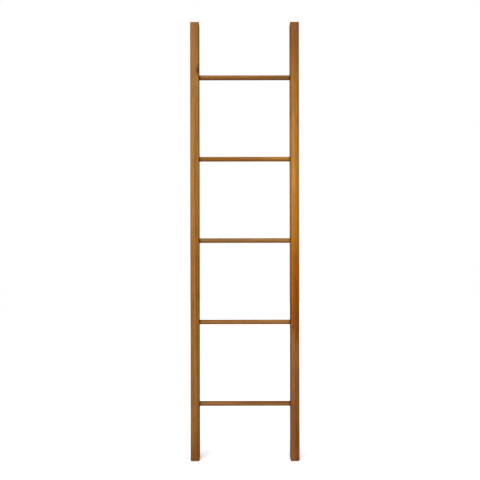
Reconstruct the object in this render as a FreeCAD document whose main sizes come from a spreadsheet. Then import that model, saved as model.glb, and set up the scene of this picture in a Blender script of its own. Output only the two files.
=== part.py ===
"""Leaning blanket ladder: two square timber rails, five round rungs, and what holds them together.

Millimetres. X runs across the ladder, Y from its front (-Y) to its back (+Y), Z up.
The origin is on the floor, midway between the rails and midway through their depth.
"""

import FreeCAD, Part
import os

import Sketcher
from FreeCAD import Placement, Rotation, Vector

PARTS_FOLDER = "parts"
CUTTING_KINDS = ("Pocket", "Groove", "Hole", "Fillet", "Chamfer", "Mirrored")
LEAST_CHANGE = 0.01  # mm3, below which a feature has done nothing
TOUCH = 1e-6  # mm, how near counts as lying in a plane

# side of the ladder, the sign of its X, and the turn about Z that faces a piece inwards
SIDES = (("left", -1, 0), ("right", 1, 180))

# name of the size, its value in millimetres (rung_count is a plain number), what it is
SIZES = (
    ("overall_width", 454.0, "outer face of one rail to outer face of the other"),
    ("rail_length", 1825.0, "cut length of a rail"),
    ("rail_width", 37.0, "rail, across the ladder"),
    ("rail_depth", 37.0, "rail, front to back"),
    ("rail_edge_radius", 2.5, "rounding of a rail's four long edges"),
    ("rail_end_bevel", 1.0, "small bevel round a rail's sawn ends"),
    ("rung_count", 5, "number of rungs, evenly spaced between the first and the last"),
    ("first_rung_height", 231.0, "lower end of a rail to the middle of rung 1"),
    ("last_rung_drop", 227.0, "upper end of a rail down to the middle of the last rung"),
    ("rung_diameter", 20.0, "rung, across"),
    ("rung_end_bevel", 1.0, "bevel round a rung's ends, so that it starts in its hole"),
    ("mortise_depth", 15.0, "depth of the blind hole that holds a rung's end"),
    ("mortise_clearance", 0.1, "glue gap round a rung's end, on the radius"),
    ("mortise_mouth_bevel", 0.6, "bevel round the mouth of a mortise"),
    ("screw_length", 50.0, "screw, from under its head to its point"),
    ("screw_diameter", 4.5, "outside of a screw's thread"),
    ("screw_core_diameter", 3.2, "bottom of a screw's thread, and its plain shank"),
    ("thread_length", 28.0, "threaded stretch, behind the point"),
    ("thread_pitch", 2.0, "one thread ridge to the next"),
    ("screw_point_length", 5.0, "tapered point"),
    ("screw_head_diameter", 8.0, "screw head, across"),
    ("screw_head_height", 2.6, "screw head, along the screw"),
    ("screw_head_bevel", 0.8, "bevel round the top of a screw head"),
    ("drive_arm_length", 4.4, "cross recess, end to end"),
    ("drive_arm_width", 1.1, "cross recess, width of an arm"),
    ("drive_depth", 1.5, "cross recess, depth"),
    ("screw_hole_clearance", 0.25, "gap round the screw in a rail, on the radius"),
    ("pilot_clearance", 0.05, "gap round the thread in a rung, on the radius"),
    ("pilot_spare_depth", 2.0, "pilot hole beyond the screw's point"),
    ("plug_diameter", 10.0, "wood plug, across"),
    ("plug_length", 6.0, "wood plug, along its axis"),
    ("plug_end_bevel", 0.8, "bevel round a plug's inner end"),
    ("plug_clearance", 0.05, "glue gap round a plug, on the radius"),
    ("plug_head_gap", 1.0, "room between a plug and the screw head"),
    ("pad_thickness", 4.0, "anti-slip foot pad, top to bottom"),
    ("pad_inset", 1.5, "rail face to the edge of its foot pad"),
    ("pad_corner_radius", 3.0, "upright corners of a foot pad"),
    ("pad_edge_bevel", 0.6, "bevel round a pad's lower edge"),
    ("tread_groove_width", 2.0, "groove in a pad's sole"),
    ("tread_groove_depth", 1.0, "groove in a pad's sole"),
    ("tread_groove_pitch", 7.0, "one groove to the next"),
    ("tread_groove_count", 4, "number of grooves in a sole"),
)

# Sizes that follow from the ones above, as formulas on the sheet's cells
RAIL_CLEAR_WIDTH = "(sizes.overall_width - 2 * sizes.rail_width)"
RUNG_LENGTH = f"({RAIL_CLEAR_WIDTH} + 2 * sizes.mortise_depth)"
MORTISE_RADIUS = "(sizes.rung_diameter / 2 + sizes.mortise_clearance)"
SCREW_HOLE_DIAMETER = "(sizes.screw_diameter + 2 * sizes.screw_hole_clearance)"
PILOT_RADIUS = "(sizes.screw_diameter / 2 + sizes.pilot_clearance)"
COUNTERBORE_DIAMETER = "(sizes.plug_diameter + 2 * sizes.plug_clearance)"
COUNTERBORE_DEPTH = "(sizes.plug_length + sizes.plug_head_gap + sizes.screw_head_height)"
SCREW_IN_RAIL = f"(sizes.rail_width - sizes.mortise_depth - {COUNTERBORE_DEPTH})"
PILOT_DEPTH = f"(sizes.screw_length - {SCREW_IN_RAIL} + sizes.pilot_spare_depth)"
FIRST_RUNG_Z = "(sizes.pad_thickness + sizes.first_rung_height)"
RUNG_SPREAD = "(sizes.rail_length - sizes.first_rung_height - sizes.last_rung_drop)"
RUNG_PITCH = f"({RUNG_SPREAD} / (sizes.rung_count - 1))"

doc = FreeCAD.newDocument("blanket_ladder")
sizes = doc.addObject("Spreadsheet::Sheet", "sizes")


def fill_sheet():
    """One row for each driving size: its name, its value and what it is."""
    for row, (name, value, meaning) in enumerate(SIZES, start=1):
        sizes.set(f"A{row}", name)
        sizes.set(f"B{row}", str(value))
        sizes.set(f"C{row}", meaning)
        sizes.setAlias(f"B{row}", name)
    doc.recompute()


def value_of(formula):
    """The present value of a formula written on the sheet's cells."""
    return float(sizes.evalExpression(formula))


def other_sign(formula):
    """The same formula, of one term, with the other sign."""
    return formula[1:] if formula.startswith("-") else f"-{formula}"


# ---------------------------------------------------------------- building blocks


def add_body(name):
    body = doc.addObject("PartDesign::Body", name)
    body.Label = name
    return body


def origin_feature(body, role):
    """The body's own plane or axis with that role, such as XY_Plane or Z_Axis."""
    return next(f for f in body.Origin.OriginFeatures if f.Role == role)


def add_sketch(body, name, plane, offset=None):
    """An empty sketch on one of the body's origin planes, moved along its normal by offset."""
    sketch = body.newObject("Sketcher::SketchObject", f"{body.Name}_{name}")
    sketch.AttachmentSupport = (origin_feature(body, plane), [""])
    sketch.MapMode = "FlatFace"
    if offset:
        sketch.setExpression("AttachmentOffset.Base.z", offset)
    return sketch


def pin_point(sketch, geometry, vertex, across, up):
    """Fixes one point of the sketch at (across, up), each a formula, measured from its origin."""
    for kind, axis, formula in (("DistanceX", -2, across), ("DistanceY", -1, up)):
        if formula == "0":
            sketch.addConstraint(
                Sketcher.Constraint("PointOnObject", geometry, vertex, axis)
            )
        else:
            number = sketch.addConstraint(
                Sketcher.Constraint(kind, -1, 1, geometry, vertex, value_of(formula))
            )
            sketch.setExpression(f"Constraints[{number}]", formula)


def draw_outline(sketch, corners):
    """A closed outline of straight lines through corners, each a pair of formulas."""
    points = [Vector(value_of(x), value_of(y), 0) for x, y in corners]
    following = points[1:] + points[:1]
    lines = [
        sketch.addGeometry(Part.LineSegment(a, b)) for a, b in zip(points, following)
    ]
    for line, after in zip(lines, lines[1:] + lines[:1]):
        sketch.addConstraint(Sketcher.Constraint("Coincident", line, 2, after, 1))
    for line, (x, y) in zip(lines, corners):
        pin_point(sketch, line, 1, x, y)


def draw_circle(sketch, across, up, radius):
    centre = Vector(value_of(across), value_of(up), 0)
    circle = sketch.addGeometry(
        Part.Circle(centre, Vector(0, 0, 1), value_of(radius))
    )
    number = sketch.addConstraint(
        Sketcher.Constraint("Radius", circle, value_of(radius))
    )
    sketch.setExpression(f"Constraints[{number}]", radius)
    pin_point(sketch, circle, 3, across, up)


def add_pad(body, sketch, length, symmetric=False):
    pad = body.newObject("PartDesign::Pad", f"{body.Name}_pad")
    pad.Profile = sketch
    pad.setExpression("Length", length)
    if symmetric:
        pad.SideType = "Symmetric"
    body.Tip = pad
    doc.recompute()
    return pad


def add_pocket(body, sketch, name, depth, reverse=False):
    pocket = body.newObject("PartDesign::Pocket", f"{body.Name}_{name}")
    pocket.Profile = sketch
    pocket.Reversed = reverse
    pocket.setExpression("Length", depth)
    body.Tip = pocket
    doc.recompute()
    return pocket


def add_turning(body, sketch, kind, name):
    """A full turn of the sketch about its own horizontal axis: a Revolution or a Groove."""
    turned = body.newObject(f"PartDesign::{kind}", f"{body.Name}_{name}")
    turned.Profile = sketch
    turned.ReferenceAxis = (sketch, ["H_Axis"])
    turned.Angle = 360
    body.Tip = turned
    doc.recompute()
    return turned


def add_row(body, originals, axis, pitch, count, whole=False):
    """Repeats features, or the whole body, along one of its axes."""
    row = body.newObject("PartDesign::LinearPattern", f"{body.Name}_row")
    if whole:
        row.TransformMode = "Whole shape"
    else:
        row.Originals = originals
    row.Direction = (origin_feature(body, axis), [""])
    row.Mode = "Spacing"
    row.setExpression("Offset", pitch)
    row.setExpression("Occurrences", count)
    body.Tip = row
    doc.recompute()
    return row


def add_edge_finish(body, kind, name, chosen, size_name, size):
    """A Fillet or Chamfer on the edges of the body for which chosen(edge) is true."""
    base = body.Tip
    edges = [
        f"Edge{i}" for i, edge in enumerate(base.Shape.Edges, start=1) if chosen(edge)
    ]
    finish = body.newObject(f"PartDesign::{kind}", f"{body.Name}_{name}")
    finish.Base = (base, edges)
    finish.setExpression(size_name, size)
    body.Tip = finish
    doc.recompute()
    return finish


def runs_along(edge, direction):
    """True for a straight edge along direction."""
    if edge.Curve.TypeId != "Part::GeomLine":
        return False
    return edge.tangentAt(edge.FirstParameter).cross(direction).Length < TOUCH


def lies_at(edge, axis, place):
    """True if the whole edge lies at that place along x, y or z."""
    low = getattr(edge.BoundBox, f"{axis}Min")
    high = getattr(edge.BoundBox, f"{axis}Max")
    return abs(low - place) < TOUCH and abs(high - place) < TOUCH


def stand_on_side(body, sign, turn, outwards, height=None):
    """Puts a body at one side of the ladder, with its own +X pointing to the middle.

    Without a height the body stands on the floor."""
    body.Placement = Placement(Vector(0, 0, 0), Rotation(Vector(0, 0, 1), turn))
    body.setExpression("Placement.Base.x", f"{sign} * {outwards}")
    if height:
        body.setExpression("Placement.Base.z", height)
    doc.recompute()


# ---------------------------------------------------------------- the pieces


def make_rail(name, sign, turn):
    """A square timber. Its own X runs from its outer face (0) to its inner face."""
    body = add_body(name)
    half_depth = "sizes.rail_depth / 2"
    section = add_sketch(body, "section", "XY_Plane")
    draw_outline(
        section,
        (
            ("0", f"-{half_depth}"),
            ("sizes.rail_width", f"-{half_depth}"),
            ("sizes.rail_width", half_depth),
            ("0", half_depth),
        ),
    )
    add_pad(body, section, "sizes.rail_length")

    add_edge_finish(
        body,
        "Fillet",
        "long_edges",
        lambda edge: runs_along(edge, Vector(0, 0, 1)),
        "Radius",
        "sizes.rail_edge_radius",
    )
    length = value_of("sizes.rail_length")
    add_edge_finish(
        body,
        "Chamfer",
        "sawn_ends",
        lambda edge: lies_at(edge, "Z", 0) or lies_at(edge, "Z", length),
        "Size",
        "sizes.rail_end_bevel",
    )

    mortise_sketch = add_sketch(body, "mortise_circle", "YZ_Plane", "sizes.rail_width")
    draw_circle(mortise_sketch, "0", "sizes.first_rung_height", MORTISE_RADIUS)
    mortise = add_pocket(body, mortise_sketch, "mortise", "sizes.mortise_depth")

    screw_sketch = add_sketch(body, "screw_circle", "YZ_Plane")
    draw_circle(
        screw_sketch, "0", "sizes.first_rung_height", f"{SCREW_HOLE_DIAMETER} / 2"
    )
    screw_hole = body.newObject("PartDesign::Hole", f"{body.Name}_screw_hole")
    screw_hole.Profile = screw_sketch
    screw_hole.Reversed = True
    screw_hole.DepthType = "Dimension"
    screw_hole.DrillPoint = "Flat"
    screw_hole.HoleCutType = "Counterbore"
    screw_hole.HoleCutCustomValues = True
    screw_hole.setExpression("Diameter", SCREW_HOLE_DIAMETER)
    screw_hole.setExpression("Depth", "sizes.rail_width - sizes.mortise_depth")
    screw_hole.setExpression("HoleCutDiameter", COUNTERBORE_DIAMETER)
    screw_hole.setExpression("HoleCutDepth", COUNTERBORE_DEPTH)
    body.Tip = screw_hole
    doc.recompute()

    add_row(body, [mortise, screw_hole], "Z_Axis", RUNG_PITCH, "sizes.rung_count")
    inner_face = value_of("sizes.rail_width")
    add_edge_finish(
        body,
        "Chamfer",
        "mortise_mouths",
        lambda edge: edge.Curve.TypeId == "Part::GeomCircle"
        and lies_at(edge, "X", inner_face),
        "Size",
        "sizes.mortise_mouth_bevel",
    )
    stand_on_side(body, sign, turn, "sizes.overall_width / 2", "sizes.pad_thickness")
    return body


def make_rung(number):
    """A dowel along X, with a pilot hole for a screw in each end."""
    body = add_body(f"rung_{number}")
    section = add_sketch(body, "section", "YZ_Plane")
    draw_circle(section, "0", "0", "sizes.rung_diameter / 2")
    add_pad(body, section, RUNG_LENGTH, symmetric=True)
    add_edge_finish(
        body,
        "Chamfer",
        "ends",
        lambda edge: edge.Curve.TypeId == "Part::GeomCircle",
        "Size",
        "sizes.rung_end_bevel",
    )
    pilot_sketch = add_sketch(body, "pilot_profile", "XZ_Plane")
    end = f"({RUNG_LENGTH} / 2)"
    pilot_floor = f"({end} - {PILOT_DEPTH})"
    draw_outline(
        pilot_sketch,
        (
            (pilot_floor, "0"),
            (f"{pilot_floor} + {PILOT_RADIUS}", PILOT_RADIUS),
            (end, PILOT_RADIUS),
            (end, "0"),
        ),
    )
    pilot = add_turning(body, pilot_sketch, "Groove", "pilot")
    other_pilot = body.newObject("PartDesign::Mirrored", f"{body.Name}_other_pilot")
    other_pilot.Originals = [pilot]
    other_pilot.MirrorPlane = (origin_feature(body, "YZ_Plane"), [""])
    body.Tip = other_pilot
    body.setExpression("Placement.Base.z", f"{FIRST_RUNG_Z} + {number - 1} * {RUNG_PITCH}")
    doc.recompute()
    return body


def make_screws(name, sign, turn):
    """One rail's screws. Their own X runs from under the head (0) to the point.

    The thread is a row of ridges of the real pitch, not a helix."""
    body = add_body(name)
    head_radius = "sizes.screw_head_diameter / 2"
    core = "sizes.screw_core_diameter / 2"
    crest = "sizes.screw_diameter / 2"
    point_start = "(sizes.screw_length - sizes.screw_point_length)"
    ridges = int(value_of("sizes.thread_length / sizes.thread_pitch"))
    head_and_shank = [
        ("-sizes.screw_head_height", "0"),
        ("-sizes.screw_head_height", f"{head_radius} - sizes.screw_head_bevel"),
        ("sizes.screw_head_bevel - sizes.screw_head_height", head_radius),
        ("0", head_radius),
        ("0", core),
    ]
    thread = []
    for ridge in range(ridges, 0, -1):
        foot = f"({point_start} - {ridge} * sizes.thread_pitch)"
        thread.append((foot, core))
        thread.append((f"{foot} + sizes.thread_pitch / 2", crest))
    point = [(point_start, core), ("sizes.screw_length", "0")]
    profile = add_sketch(body, "profile", "XZ_Plane")
    draw_outline(profile, head_and_shank + thread + point)
    add_turning(body, profile, "Revolution", "turned")

    recess = add_sketch(body, "drive_cross", "YZ_Plane", "-sizes.screw_head_height")
    reach = "sizes.drive_arm_length / 2"
    half = "sizes.drive_arm_width / 2"
    arm = [(half, half), (half, reach), (f"-{half}", reach)]
    cross = []
    for _ in range(4):
        cross += arm
        arm = [(other_sign(y), x) for x, y in arm]
    draw_outline(recess, cross)
    add_pocket(body, recess, "drive", "sizes.drive_depth", reverse=True)
    add_row(body, [], "Z_Axis", RUNG_PITCH, "sizes.rung_count", whole=True)
    stand_on_side(
        body, sign, turn, f"(sizes.overall_width / 2 - {COUNTERBORE_DEPTH})", FIRST_RUNG_Z
    )
    return body


def make_plugs(name, sign, turn):
    """One rail's plugs, flush with its outer face. Their own X runs into the rail."""
    body = add_body(name)
    radius = "sizes.plug_diameter / 2"
    profile = add_sketch(body, "profile", "XZ_Plane")
    draw_outline(
        profile,
        (
            ("0", "0"),
            ("0", radius),
            ("sizes.plug_length - sizes.plug_end_bevel", radius),
            ("sizes.plug_length", f"{radius} - sizes.plug_end_bevel"),
            ("sizes.plug_length", "0"),
        ),
    )
    add_turning(body, profile, "Revolution", "turned")
    add_row(body, [], "Z_Axis", RUNG_PITCH, "sizes.rung_count", whole=True)
    stand_on_side(body, sign, turn, "sizes.overall_width / 2", FIRST_RUNG_Z)
    return body


def make_foot_pad(name, sign, turn):
    """A thin anti-slip pad under a rail, with grooves across its sole."""
    body = add_body(name)
    near = "sizes.pad_inset"
    far = "sizes.rail_width - sizes.pad_inset"
    half = "(sizes.rail_depth / 2 - sizes.pad_inset)"
    outline = add_sketch(body, "outline", "XY_Plane")
    draw_outline(outline, ((near, f"-{half}"), (far, f"-{half}"), (far, half), (near, half)))
    add_pad(body, outline, "sizes.pad_thickness")
    add_edge_finish(
        body,
        "Fillet",
        "corners",
        lambda edge: runs_along(edge, Vector(0, 0, 1)),
        "Radius",
        "sizes.pad_corner_radius",
    )
    add_edge_finish(
        body,
        "Chamfer",
        "sole_edge",
        lambda edge: lies_at(edge, "Z", 0),
        "Size",
        "sizes.pad_edge_bevel",
    )
    groove_sketch = add_sketch(body, "groove_section", "YZ_Plane")
    middle = "-(sizes.tread_groove_count - 1) * sizes.tread_groove_pitch / 2"
    near_side = f"({middle} - sizes.tread_groove_width / 2)"
    far_side = f"({middle} + sizes.tread_groove_width / 2)"
    draw_outline(
        groove_sketch,
        (
            (near_side, "0"),
            (far_side, "0"),
            (far_side, "sizes.tread_groove_depth"),
            (near_side, "sizes.tread_groove_depth"),
        ),
    )
    groove = add_pocket(body, groove_sketch, "groove", "sizes.rail_width", reverse=True)
    add_row(
        body,
        [groove],
        "Y_Axis",
        "sizes.tread_groove_pitch",
        "sizes.tread_groove_count",
    )
    stand_on_side(body, sign, turn, "sizes.overall_width / 2")
    return body


# ---------------------------------------------------------------- checks and export


def check_document():
    """Stops the build if anything in the document has failed."""
    for item in doc.Objects:
        if {"Invalid", "Error"} & set(item.State):
            raise RuntimeError(f"{item.Name} is {item.State}")


def check_cuts(body):
    """Stops the build if a feature changes nothing, or if one that should cut adds instead."""
    features = [f for f in body.Group if f.isDerivedFrom("PartDesign::Feature")]
    for before, feature in zip(features, features[1:]):
        growth = feature.Shape.Volume - before.Shape.Volume
        cuts = feature.TypeId.split("::")[1] in CUTTING_KINDS
        if abs(growth) < LEAST_CHANGE or (cuts and growth > 0):
            raise RuntimeError(f"{feature.Name} changes the volume by {growth:.3f} mm3")


def check_shape(body, solids):
    """Stops the build if a piece is empty, broken or not the number of solids it should be."""
    shape = body.Shape
    if shape.isNull() or not shape.isValid():
        raise RuntimeError(f"{body.Label} has no valid shape")
    if len(shape.Solids) != solids:
        raise RuntimeError(f"{body.Label} has {len(shape.Solids)} solids, not {solids}")


fill_sheet()
rung_count = int(value_of("sizes.rung_count"))
pieces = []
for side, sign, turn in SIDES:
    pieces.append((make_rail(f"{side}_rail", sign, turn), 1))
    pieces.append((make_screws(f"{side}_screws", sign, turn), rung_count))
    pieces.append((make_plugs(f"{side}_plugs", sign, turn), rung_count))
    pieces.append((make_foot_pad(f"{side}_foot_pad", sign, turn), 1))
for number in range(1, rung_count + 1):
    pieces.append((make_rung(number), 1))

doc.recompute()
check_document()
for body, solids in pieces:
    check_cuts(body)
    check_shape(body, solids)

os.makedirs(PARTS_FOLDER, exist_ok=True)
for body, solids in pieces:
    body.Shape.exportStep(f"{PARTS_FOLDER}/{body.Label}.step")
    box = body.Shape.BoundBox
    print(
        f"{body.Label}: {solids} solid(s), {body.Shape.Volume:.0f} mm3,"
        f" x {box.XMin:.2f} to {box.XMax:.2f},"
        f" y {box.YMin:.2f} to {box.YMax:.2f},"
        f" z {box.ZMin:.2f} to {box.ZMax:.2f}"
    )
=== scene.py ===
# %% [markdown]
# # A leaning blanket ladder in stained softwood
# The ladder has two square rails, five round rungs let into them, ten screws that pull the
# rungs tight, ten wood plugs that hide the screws, and a thin rubber pad under each rail.
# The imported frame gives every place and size. This lesson gives each piece its surface and
# its finish. It starts by loading the frame and keeping its box, because nothing that is made
# here may grow out of that box.

import math

import bpy
import numpy as np
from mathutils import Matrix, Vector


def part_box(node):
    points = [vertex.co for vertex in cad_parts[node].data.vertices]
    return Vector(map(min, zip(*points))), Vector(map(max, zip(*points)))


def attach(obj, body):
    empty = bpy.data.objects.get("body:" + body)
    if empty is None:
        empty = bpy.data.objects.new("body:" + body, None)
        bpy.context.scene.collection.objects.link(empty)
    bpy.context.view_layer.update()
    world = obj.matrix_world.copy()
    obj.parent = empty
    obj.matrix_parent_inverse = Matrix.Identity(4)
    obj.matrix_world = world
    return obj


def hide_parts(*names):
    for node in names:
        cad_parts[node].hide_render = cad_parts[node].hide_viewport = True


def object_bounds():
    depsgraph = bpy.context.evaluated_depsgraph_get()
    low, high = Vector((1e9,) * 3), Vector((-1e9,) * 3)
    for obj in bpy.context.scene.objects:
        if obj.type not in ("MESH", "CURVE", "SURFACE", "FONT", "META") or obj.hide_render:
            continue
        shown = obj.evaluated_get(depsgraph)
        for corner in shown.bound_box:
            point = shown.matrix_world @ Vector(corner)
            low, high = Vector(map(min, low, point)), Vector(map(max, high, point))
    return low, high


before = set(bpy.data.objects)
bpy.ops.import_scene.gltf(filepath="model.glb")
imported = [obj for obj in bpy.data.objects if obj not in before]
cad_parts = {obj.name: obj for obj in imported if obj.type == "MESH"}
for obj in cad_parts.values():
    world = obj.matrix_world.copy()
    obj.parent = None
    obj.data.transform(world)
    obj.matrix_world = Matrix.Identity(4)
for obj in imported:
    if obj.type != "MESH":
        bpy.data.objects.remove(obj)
frame_low, frame_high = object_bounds()
print("nodes in the frame:", sorted(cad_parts))
print("height of the ladder:", round(frame_high.z, 4), "m")

# %% [markdown]
# ## Sizes read from the frame
# A joiner would measure the parts on the bench: the rail's width and depth, where each rung
# enters it, how thick a rung is. The frame's boxes give the same sizes, so nothing has to be
# typed twice. Only what a box can't show is named here: the small radii, bevels and hole
# depths inside the wood.

# %% Measure rails, rungs and plugs
MM = 0.001
SIDES = {"left": -1.0, "right": 1.0}

rail_low, rail_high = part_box("left_rail")
rail_width = rail_high.x - rail_low.x
rail_depth = rail_high.y - rail_low.y
rail_foot = rail_low.z
rail_length = rail_high.z - rail_low.z
outer_face = abs(rail_low.x)
inner_face = abs(rail_high.x)

rung_names = sorted(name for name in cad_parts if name.startswith("rung_"))
rung_boxes = [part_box(name) for name in rung_names]
rung_heights = np.array([(low.z + high.z) / 2 for low, high in rung_boxes])
rung_low, rung_high = rung_boxes[0]
rung_radius = max(rung_high.z - rung_low.z, rung_high.y - rung_low.y) / 2
rung_half_length = rung_high.x

plug_low, plug_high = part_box("left_plugs")
plug_length = plug_high.x - plug_low.x
plug_radius = (plug_high.y - plug_low.y) / 2
head_place = outer_face - abs(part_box("left_screws")[0].x)

ARRIS_RADIUS = 2.5 * MM      # rounding of a rail's long edges
END_BEVEL = 1.0 * MM         # rounding of the sawn ends
GLUE_GAP = 0.1 * MM          # round a rung's end
PLUG_GAP = 0.05 * MM         # round a plug
MOUTH_BEVEL = 0.6 * MM       # round the mouth of a mortise
HEAD_HEIGHT = 2.6 * MM       # of a screw
SCREW_HOLE_RADIUS = 2.5 * MM
PILOT_RADIUS = 2.3 * MM
PILOT_LENGTH = 39.6 * MM
RUNG_BEVEL = 1.0 * MM
mortise_depth = rung_half_length - inner_face
print("rungs at", rung_heights.round(3), "m, each", round(rung_radius * 2 / MM, 2), "mm thick")
print("mortises are", round(mortise_depth / MM, 1), "mm deep")

# %% [markdown]
# ## From arrays to a mesh
# Every new piece here is one or more grids of points. A grid is worked out with whole arrays,
# so there is no loop over its points. Neighbouring grids share the points along their common
# edge, so welding them by place closes the surface. A quad that has lost a side in the weld,
# at a pole or where rings meet, becomes a triangle. Each point also carries three values for
# the finish, from 0 to 1: how far round an edge it lies, whether it lies on end grain, and how
# close it is to the corner of a joint.

# %% Weld grids into one mesh
WELD = 0.5e-6
FINISH_VALUES = ("edge", "end_grain", "joint")


def grid_quads(rows, columns, closed=False):
    """Corners of every quad of a rows x columns grid, row by row. Closed joins its last column
    to its first."""
    last = columns if closed else columns - 1
    row, column = np.meshgrid(np.arange(rows - 1), np.arange(last), indexing="ij")
    after = (column + 1) % columns
    corners = (row * columns + column, row * columns + after,
               (row + 1) * columns + after, (row + 1) * columns + column)
    return np.stack(corners, axis=-1).reshape(-1, 4)


def patch(points, closed=False, edge=0.0, end_grain=0.0, joint=0.0, keep=None):
    """One grid (rows, columns, 3) as a dict of its points, its quads and its finish values.
    keep is an optional true-or-false grid of the quads that stay."""
    rows, columns = points.shape[:2]
    quads = grid_quads(rows, columns, closed)
    if keep is not None:
        quads = quads[keep.reshape(-1)]
    values = np.zeros((rows, columns, len(FINISH_VALUES)))
    for number, value in enumerate((edge, end_grain, joint)):
        values[..., number] = value
    return {"points": points.reshape(-1, 3), "quads": quads,
            "values": values.reshape(-1, len(FINISH_VALUES))}


def make_piece(name, patches):
    """A mesh object from patches: points in the same place become one, and its faces are
    turned outwards."""
    starts = np.cumsum([0] + [len(p["points"]) for p in patches])
    points = np.concatenate([p["points"] for p in patches])
    values = np.concatenate([p["values"] for p in patches])
    quads = np.concatenate([p["quads"] + start for p, start in zip(patches, starts)])
    steps = np.round(points / WELD).astype(np.int64)
    used = np.unique(quads)
    _, first, welded = np.unique(steps[used], axis=0, return_index=True, return_inverse=True)
    renumber = np.zeros(len(points), np.int64)
    renumber[used] = welded.reshape(-1)
    quads = renumber[quads]
    stays = quads != np.roll(quads, -1, axis=1)
    sides = stays.sum(axis=1)
    quads, stays, sides = quads[sides > 2], stays[sides > 2], sides[sides > 2]
    mesh = bpy.data.meshes.new(name)
    mesh.vertices.add(len(first))
    mesh.vertices.foreach_set("co", points[used][first].astype(np.float32).ravel())
    mesh.loops.add(int(sides.sum()))
    mesh.loops.foreach_set("vertex_index", quads[stays].astype(np.int32))
    mesh.polygons.add(len(sides))
    mesh.polygons.foreach_set("loop_start", (np.cumsum(sides) - sides).astype(np.int32))
    mesh.update(calc_edges=True)
    for number, label in enumerate(FINISH_VALUES):
        layer = mesh.attributes.new(label, "FLOAT", "POINT")
        layer.data.foreach_set("value", values[used][first][:, number].astype(np.float32))
    piece = bpy.data.objects.new(name, mesh)
    bpy.context.scene.collection.objects.link(piece)
    turn_outwards(piece)
    print(name, "has", len(mesh.vertices), "points and", len(mesh.polygons), "faces")
    return piece


# %% [markdown]
# ## Which way is out
# A closed skin needs all its faces pointing outwards. Blender can work that out for a closed
# mesh, so it is asked once, after the weld. Flat shading would show the facets of a round
# rung, and fully smooth shading would smear the sharp shoulders of the holes, so only edges
# that turn by more than 35 degrees stay sharp.

# %% Turn faces outwards and keep sharp shoulders
import bmesh

SHARP_TURN = math.radians(35)


def turn_outwards(piece):
    """Recalculates the normals of a closed mesh and says whether it is closed."""
    work = bmesh.new()
    work.from_mesh(piece.data)
    bmesh.ops.recalc_face_normals(work, faces=work.faces)
    open_edges = sum(not edge.is_manifold for edge in work.edges)
    volume = work.calc_volume(signed=True)
    work.to_mesh(piece.data)
    work.free()
    piece.data.polygons.foreach_set("use_smooth", np.ones(len(piece.data.polygons), bool))
    piece.data.set_sharp_from_angle(angle=SHARP_TURN)
    print(piece.name, "open edges:", open_edges, "volume:", round(volume * 1e6, 1), "cm3")


# %% [markdown]
# ## Wood is never quite straight
# Planed and sanded timber wanders by about a tenth of a millimetre, and hands wear its edges
# unevenly. A sum of a few long sine waves in seeded directions gives such a slow change, with
# the same result on every run. The wood is only ever taken away, so a piece can't grow out of
# its box.

# %% A slow, seeded change
def slow_change(places, seed, reach, waves=7):
    """From 0 to 1: half of one plus the mean of several sines of each place along seeded
    directions, whose wavelengths are about reach."""
    dice = np.random.default_rng(seed)
    directions = dice.normal(size=(waves, 3))
    directions /= np.linalg.norm(directions, axis=1, keepdims=True)
    pace = 2 * math.pi / (reach * dice.uniform(0.7, 1.6, size=waves))
    phase = dice.uniform(0, 2 * math.pi, size=waves)
    along = places @ (directions * pace[:, None]).T
    return 0.5 + 0.5 * np.sin(along + phase).mean(axis=-1)


def smooth_fall(distance, reach):
    """1 at no distance, easing to 0 at reach and beyond."""
    near = np.clip(1 - distance / reach, 0, 1)
    return near * near * (3 - 2 * near)


# %% [markdown]
# ## The outline of a rail
# A rail starts as planed square timber whose four long edges are rounded over. Its outline
# is four flats joined by quarter circles. It could be a square with a Bevel modifier, but an
# outline that is worked out point by point also says how far round an edge each point lies,
# and the finish uses that to wear the stain thin there.

# %% Draw the outline once
FLAT_STEPS = 16
ARRIS_STEPS = 5


def rail_outline():
    """Going round from the inner flat: places (n, 2), outward directions (n, 2) and edge
    values (n), each side being a flat of even steps and then a quarter circle."""
    half = np.array([rail_width / 2, rail_depth / 2]) - ARRIS_RADIUS
    places, outward, edge = [], [], []
    corners = [np.array([sx, sy]) * half for sx, sy in ((1, -1), (1, 1), (-1, 1), (-1, -1))]
    for side in range(4):
        start, finish = corners[side], corners[(side + 1) % 4]
        angle = side * math.pi / 2
        facing = np.array([math.cos(angle), math.sin(angle)])
        share = np.arange(FLAT_STEPS)[:, None] / FLAT_STEPS
        places.append(start + (finish - start) * share + facing * ARRIS_RADIUS)
        outward.append(np.repeat(facing[None], FLAT_STEPS, axis=0))
        edge.append(np.zeros(FLAT_STEPS))
        turn = np.arange(ARRIS_STEPS) / ARRIS_STEPS
        swing = angle + turn * math.pi / 2
        round_way = np.stack([np.cos(swing), np.sin(swing)], axis=-1)
        places.append(finish + round_way * ARRIS_RADIUS)
        outward.append(round_way)
        edge.append(np.sin(turn * math.pi))
    return np.concatenate(places), np.concatenate(outward), np.concatenate(edge)


outline, outline_outward, outline_edge = rail_outline()
print("a rail's outline has", len(outline), "points")

# %% [markdown]
# ## What years of handling take away
# Sanding leaves the flats a little uneven, and the edges are worn rounder in some places than
# in others. A few small dents sit on the edges, where the ladder was leant against something
# or laid down. This could be sculpted by hand. A formula does it the same way each time, and
# both rails can use it with their own seeds.

# %% Wear taken off a rail
UNEVEN = 0.12 * MM
UNEVEN_REACH = 0.11          # metres, from one rise of the surface to the next
EDGE_WEAR = 0.45 * MM
EDGE_WEAR_REACH = 0.07
DENT_DEPTH = 0.5 * MM
DENT_REACH = 7.0 * MM
DENTS_PER_RAIL = 9
DENT_FREE_END = 0.05         # metres without dents at each end of a rail


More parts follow.
